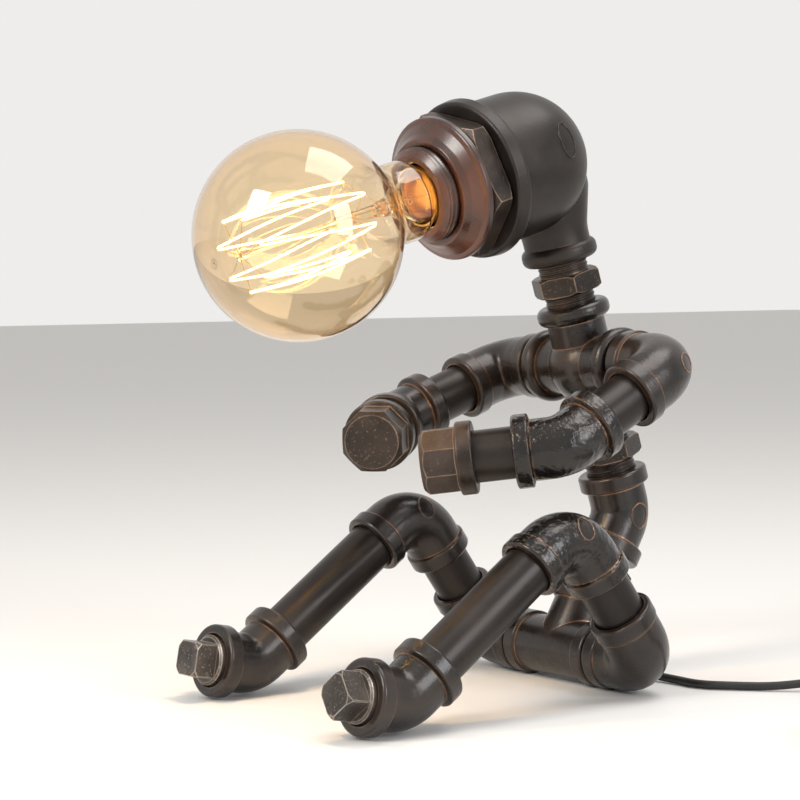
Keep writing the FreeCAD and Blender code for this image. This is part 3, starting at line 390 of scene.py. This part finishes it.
# Nuts, caps and plugs: hexagon nipples, eight sided hand caps, square headed toe plugs, the big bush.
# Spanners and the foundry's grit leave their flats grey and speckled and their corners bright. The left hand
# cap's lighter, warmer tone is partly painted glow of the bulb's light over its real wear.
nut_finish = finish_of("worn_nuts", (0.014, 0.011, 0.0095), (0.040, 0.030, 0.025), (0.42, 0.29, 0.20), 0.34,
                       grain=900.0, lumps=380.0, lump_share=0.4, depth=0.00014, metal=0.5, cover=0.55,
                       rub_rough=0.34, speck_light=0.30)
# Worn flats of the big bush in their own colour; on the left hand cap this lighter finish is partly painted warm
# glow from the bulb.
worn_bush_and_painted_glow_finish = finish_of("bush_flats_and_painted_glow", (0.020, 0.014, 0.011), (0.060, 0.042, 0.033), (0.44, 0.30, 0.21), 0.34,
                        grain=900.0, lumps=300.0, lump_share=0.4, depth=0.00012, metal=0.45, cover=0.58,
                        rub_rough=0.33, speck_light=0.12)
toe_finish = finish_of("bare_square", (0.045, 0.038, 0.033), (0.13, 0.11, 0.097), (0.60, 0.53, 0.47), 0.38,
                       grain=1100.0, lumps=420.0, lump_share=0.5, depth=0.00022, metal=0.6, cover=0.62,
                       rub_rough=0.34, speck_light=0.5)
wear(nut_finish, "spine_hex_nipple", "waist_hex_nipple", "neck_hex_nipple", "right_hand_cap")
# The left hand cap takes the bush's lighter, warmer finish instead of its twin's: painted warm glow from the
# bulb on top of real rubbed wear.
wear(worn_bush_and_painted_glow_finish, "head_bush", "left_hand_cap")
wear(toe_finish, "left_toe_plug", "right_toe_plug")


# Lamp holder: reddish brown phenolic shell with its flanged shade ring, glazed block, brass parts.
# Pressed in polished dies, so the skin is smooth and its edges catch the light.
holder_finish = finish_of("brown_phenolic", (0.022, 0.0085, 0.0055), (0.048, 0.018, 0.011), (0.22, 0.10, 0.055),
                          0.30, grain=1500.0, lumps=300.0, lump_share=0.3, depth=0.00003, metal=0.0,
                          cover=0.35, rub_rough=0.22, coat=0.35)
ceramic_finish = finish_of("glazed_block", (0.72, 0.70, 0.65), (0.82, 0.80, 0.75), (0.9, 0.88, 0.84), 0.22,
                           grain=1500.0, depth=0.00002, metal=0.0, cover=0.2, rub_rough=0.2)
brass_finish = finish_of("polished_brass", (0.78, 0.50, 0.17), (0.90, 0.62, 0.24), (0.98, 0.80, 0.45), 0.22,
                         grain=1500.0, lumps=500.0, depth=0.00003, metal=1.0, cover=0.4, rub_rough=0.16)
wear(holder_finish, "shade_ring", "holder_shell", "holder_cap")
wear(ceramic_finish, "holder_insert", "bulb_insulator")
wear(brass_finish, "screw_shell", "holder_contact", "bulb_cap", "bulb_contact")


# Bulb: a blown amber globe with a glass stem, fused on a brass screw cap.
# The hairpin filament zigzags between a ring of hooks at each end of the stem's rod.
def glass_of(name, tint, dark_rim, rough=0.0):
    """Clear tinted glass that darkens where it is seen edge on."""
    material, tree, shader = new_material(name)
    shader.inputs["Transmission Weight"].default_value = 1.0
    shader.inputs["Roughness"].default_value = rough
    shader.inputs["IOR"].default_value = 1.46
    rim = add_node(tree, "ShaderNodeLayerWeight")
    rim.inputs["Blend"].default_value = 0.28
    steep = add_node(tree, "ShaderNodeMath", operation="POWER")
    tree.links.new(rim.outputs["Facing"], steep.inputs[0])
    steep.inputs[1].default_value = 2.2
    tints = add_node(tree, "ShaderNodeMix", data_type="RGBA")
    tree.links.new(steep.outputs[0], tints.inputs["Factor"])
    tints.inputs["A"].default_value = (*tint, 1)
    tints.inputs["B"].default_value = (*dark_rim, 1)
    tree.links.new(tints.outputs["Result"], shader.inputs["Base Color"])
    return material


amber_glass = glass_of("amber_glass", (0.955, 0.835, 0.65), (0.74, 0.36, 0.14))
stem_glass = glass_of("stem_glass", (0.97, 0.90, 0.76), (0.85, 0.70, 0.50))
wear(amber_glass, "bulb_globe")
wear(stem_glass, "bulb_stem")
for name in ("bulb_globe", "bulb_stem"):
    nodes[name].visible_shadow = False

neck = Vector((-0.006567, 0.057773, 0.225023))
torso_up = Vector((-0.03839, -0.26115, 0.96453))
head_ahead = Vector((0.06267, -0.96397, -0.25851))
head_left = torso_up.cross(head_ahead).normalized()


def in_head(ahead, up=0.0, left=0.0):
    """Point in the head, in millimetres along its axis, up and to the figure's left."""
    return neck + (head_ahead * ahead + torso_up * up + head_left * left) / 1000


def round_axis(ahead, r, angle):
    return in_head(ahead, r * math.cos(angle), r * math.sin(angle))


near_ring = 104.5
far_ring = 159.0
ring_r = 15.2
hairpins = 7
strand_r = 0.00042
filament_line = []
for k in range(hairpins):
    near_angle = 2 * math.pi * k / hairpins
    far_angle = 2 * math.pi * (k + 0.5) / hairpins
    after_angle = 2 * math.pi * (k + 1) / hairpins
    half_pin = 0.045
    for start, end, a, b in ((near_ring, far_ring, near_angle + half_pin, far_angle - half_pin),
                             (far_ring, near_ring, far_angle + half_pin, after_angle - half_pin)):
        for i in range(13):
            t = i / 12
            bulge = 1.7 * math.sin(math.pi * t)
            filament_line.append(round_axis(start + (end - start) * t, ring_r + bulge, a + (b - a) * t))
        way = 1 if end > start else -1
        tip = b + half_pin
        filament_line.append(round_axis(end + way * 0.9, ring_r, tip - half_pin * 0.5))
        filament_line.append(round_axis(end + way * 1.2, ring_r, tip))
        filament_line.append(round_axis(end + way * 0.9, ring_r, tip + half_pin * 0.5))
glow, tree, shader = new_material("hot_filament")
shader.inputs["Base Color"].default_value = (1.0, 0.7, 0.3, 1)
heat = add_node(tree, "ShaderNodeTexNoise")
heat.inputs["Scale"].default_value = 90.0
where = add_node(tree, "ShaderNodeTexCoord")
tree.links.new(where.outputs["Object"], heat.inputs["Vector"])
hot = add_node(tree, "ShaderNodeMix", data_type="RGBA")
tree.links.new(heat.outputs["Fac"], hot.inputs["Factor"])
hot.inputs["A"].default_value = (1.0, 0.74, 0.26, 1)
hot.inputs["B"].default_value = (1.0, 0.88, 0.50, 1)
tree.links.new(hot.outputs["Result"], shader.inputs["Emission Color"])
shader.inputs["Emission Strength"].default_value = 6.0
filament = curve_piece("filament", [filament_line], strand_r, glow)
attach(filament, "bulb")
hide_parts("bulb_filament")


def hook(ring, hub, angle, way):
    """Fine support wire from the rod's bead out to its hook round the filament."""
    line = [in_head(hub), round_axis(hub + way * 0.6, 2.2, angle)]
    line += [round_axis(hub + (ring - hub) * t + way * 0.8, 2.2 + (ring_r - 3.0) * t, angle)
             for t in (0.35, 0.7, 1.0)]
    line += [round_axis(ring + way * (1.0 + 0.9 * math.sin(a)), ring_r + 0.9 * math.cos(a), angle)
             for a in (3.1, 2.2, 1.2, 0.2, -0.8)]
    return line


support_lines = [hook(near_ring, near_ring - 1.0, 2 * math.pi * k / hairpins, -1) for k in range(hairpins)]
support_lines += [hook(far_ring, far_ring + 1.0, 2 * math.pi * (k + 0.5) / hairpins, 1)
                  for k in range(hairpins)]


def spiral(start, end, side, r, turns):
    """Small coiled wire from one point of the head's axis to another."""
    steps = int(turns * 10)
    return [in_head(start + (end - start) * i / steps, r * math.cos(2 * math.pi * turns * i / steps),
                    side + r * math.sin(2 * math.pi * turns * i / steps)) for i in range(steps + 1)]


support_lines += [spiral(76, 90, 4.2, 1.5, 6), spiral(78, 91, -4.4, 1.7, 5), spiral(80, 88, 0.5, 3.0, 4)]
support_lines += [[in_head(66, 0, 4.6), in_head(78, 0.6, 4.4), in_head(92, 3.4, 4.0),
                   in_head(104, 14.6, 1.0)],
                  [in_head(66, 0, -4.6), in_head(79, -0.8, -4.4), in_head(93, -2.4, -5.0),
                   in_head(104, -9.6, -11.4)]]
hook_wire = finish_of("hook_wire", (0.60, 0.40, 0.16), (0.80, 0.60, 0.28), (0.95, 0.85, 0.6), 0.25, grain=1800.0,
                      depth=0.00001, metal=1.0, cover=0.3, rub_rough=0.2)
supports = curve_piece("filament_hooks", support_lines, 0.00016, hook_wire)
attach(supports, "bulb")
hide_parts("bulb_supports")


def turned_mesh(name, profile, place, material, segments=48):
    """Closed mesh turned about the head's axis from (ahead, radius) points in millimetres."""
    mesh = bpy.data.meshes.new(name)
    shape = bmesh.new()
    rings = []
    for ahead, r in profile:
        if r == 0:
            rings.append([shape.verts.new(place(ahead, 0, 0))])
            continue
        rings.append([shape.verts.new(place(ahead, r, 2 * math.pi * i / segments)) for i in range(segments)])
    for one, two in zip(rings, rings[1:]):
        for i in range(segments):
            j = (i + 1) % segments
            corners = [one[i % len(one)], one[j % len(one)], two[j % len(two)], two[i % len(two)]]
            kept = list(dict.fromkeys(corners))
            if len(kept) > 2:
                shape.faces.new(kept)
    bmesh.ops.recalc_face_normals(shape, faces=shape.faces)
    shape.to_mesh(mesh)
    shape.free()
    mesh.polygons.foreach_set("use_smooth", [True] * len(mesh.polygons))
    mesh.materials.append(material)
    piece = bpy.data.objects.new(name, mesh)
    bpy.context.scene.collection.objects.link(piece)
    return piece


rod = turned_mesh("stem_rod", [(111.5, 0), (111.5, 2.2), (116, 1.4), (124, 1.15), (150, 1.15), (156, 1.5),
                               (158.2, 2.6), (160.2, 2.9), (161.8, 2.0), (162.2, 0)], round_axis, stem_glass)
rod.visible_shadow = False
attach(rod, "bulb")

glow_data = bpy.data.lights.new("filament_light", "POINT")
glow_data.energy = 0.75
glow_data.color = (1.0, 0.66, 0.34)
glow_data.shadow_soft_size = 0.018
glow_lamp = bpy.data.objects.new("filament_light", glow_data)
bpy.context.scene.collection.objects.link(glow_lamp)
glow_lamp.location = in_head(131.5)
glow_lamp.visible_camera = False
glow_lamp.visible_glossy = False
glow_lamp.visible_transmission = False


# Pipe threads that stay in sight beside the mouths of the neck, waist and spine nipples.
# They are cut on a taper with 14 turns to the inch, so the turns lie 1.8 mm apart.
thread_pitch = 1.814


def thread_turns(name, body, at, along, start, end, root_r, crest, material):
    """Helical ridge round a nipple from one height to another along its axis, in millimetres."""
    z = Vector(along).normalized()
    x = z.orthogonal().normalized()
    y = z.cross(x)
    mesh = bpy.data.meshes.new(name)
    shape = bmesh.new()
    steps = int((end - start) / thread_pitch * 48)
    profile = [(-0.75, -0.15), (-0.12, crest), (0.12, crest), (0.75, -0.15)]
    rows = []
    for i in range(steps + 1):
        angle = 2 * math.pi * i / 48
        height = start + (end - start) * i / steps
        fade = min(1.0, i / 12, (steps - i) / 12)
        spoke = x * math.cos(angle) + y * math.sin(angle)
        row = []
        for dz, out in profile:
            reach = root_r - 0.15 + (out + 0.15) * fade
            row.append(shape.verts.new(Vector(at) + (z * (height + dz) + spoke * reach) / 1000))
        rows.append(row)
    for one, two in zip(rows, rows[1:]):
        for k in range(4):
            shape.faces.new([one[k], one[(k + 1) % 4], two[(k + 1) % 4], two[k]])
    shape.faces.new(rows[0])
    shape.faces.new(rows[-1][::-1])
    bmesh.ops.recalc_face_normals(shape, faces=shape.faces)
    shape.to_mesh(mesh)
    shape.free()
    mesh.polygons.foreach_set("use_smooth", [True] * len(mesh.polygons))
    mesh.materials.append(material)
    piece = bpy.data.objects.new(name, mesh)
    bpy.context.scene.collection.objects.link(piece)
    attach(piece, body)
    return piece


thread_finish = finish_of("cut_thread", (0.045, 0.034, 0.028), (0.085, 0.062, 0.050), (0.50, 0.32, 0.20), 0.32,
                          grain=1200.0, depth=0.00003, metal=0.6, cover=0.5, width=0.0004, rub_rough=0.3)
chest = Vector((-0.003004, 0.082008, 0.135514))
waist = Vector((-0.00039, 0.099793, 0.06983))
hip = Vector((-0.00039, 0.067639, 0.0138))
spine_up = Vector((0.0, 0.49773, 0.86733))
nipple_r = 10.45
for name, at, along, low, high in (
        ("neck_thread_low", chest, torso_up, 28.6, 33.0), ("neck_thread_high", chest, torso_up, 42.0, 46.2),
        ("waist_thread_low", waist, torso_up, 20.6, 25.6), ("waist_thread_high", waist, torso_up, 34.6, 39.4),
        ("spine_thread_low", hip, spine_up, 27.2, 31.0), ("spine_thread_high", hip, spine_up, 40.2, 44.0)):
    thread_turns(name, "stand", at, along, low, high, nipple_r, 0.35, thread_finish)


# Foundry cartouches: blank raised ovals and rounds that the patterns leave on the castings.
# They stand 0.4 mm proud and follow the curve of the casting.
def cartouche(name, body, node, inside, outward, upward, tall, wide, material, thick=0.00038):
    """Closed ridge laid on a casting's skin round the point met from inside along a direction."""
    source = nodes[node].data
    tree = BVHTree.FromPolygons([v.co for v in source.vertices], [p.vertices for p in source.polygons])
    out = Vector(outward).normalized()
    up = Vector(upward)
    up = (up - out * up.dot(out)).normalized()
    side = up.cross(out)
    line = []
    for i in range(40):
        a = 2 * math.pi * i / 40
        across = up * (tall / 2000 * math.sin(a)) + side * (wide / 2000 * math.cos(a))
        far = Vector(inside) + out * 0.08 + across
        hit = tree.ray_cast(far, -out)[0]
        if hit is None:
            return None
        line.append(hit)
    data = bpy.data.curves.new(name, "CURVE")
    data.dimensions = "3D"
    data.bevel_depth = thick
    data.bevel_resolution = 2
    spline = data.splines.new("POLY")
    spline.points.add(len(line) - 1)
    for point, hit in zip(spline.points, line):
        point.co = (*hit, 1)
    spline.use_cyclic_u = True
    data.materials.append(material)
    piece = bpy.data.objects.new(name, data)
    bpy.context.scene.collection.objects.link(piece)
    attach(piece, body)
    return piece


left_knee = Vector((0.05451, 0.02614, 0.07337))
right_knee = Vector((-0.05529, 0.02614, 0.07337))
cartouche("head_oval", "head", "head_elbow", neck + torso_up * 0.006 + head_ahead * 0.004, (1, -0.05, 0.03),
          torso_up, 15.0, 8.0, smooth_finish)
cartouche("left_knee_round", "stand", "left_knee_elbow", left_knee, (1, 0, 0), (0, 0, 1), 8.5, 8.0,
          lumpy_finish)
cartouche("right_knee_round", "stand", "right_knee_elbow", right_knee, (1, 0, 0), (0, 0, 1), 8.5, 8.0,
          cast_finish)
cartouche("spine_round", "stand", "spine_elbow", waist, (1, 0, 0), (0, 0, 1), 11.0, 9.0, cast_finish)
cartouche("left_shoulder_round", "left_upper_arm", "left_shoulder_elbow", Vector((0.05425, 0.08143, 0.13764)),
          (1, 0, 0.1), (0, 0, 1), 8.0, 8.0, cast_finish)
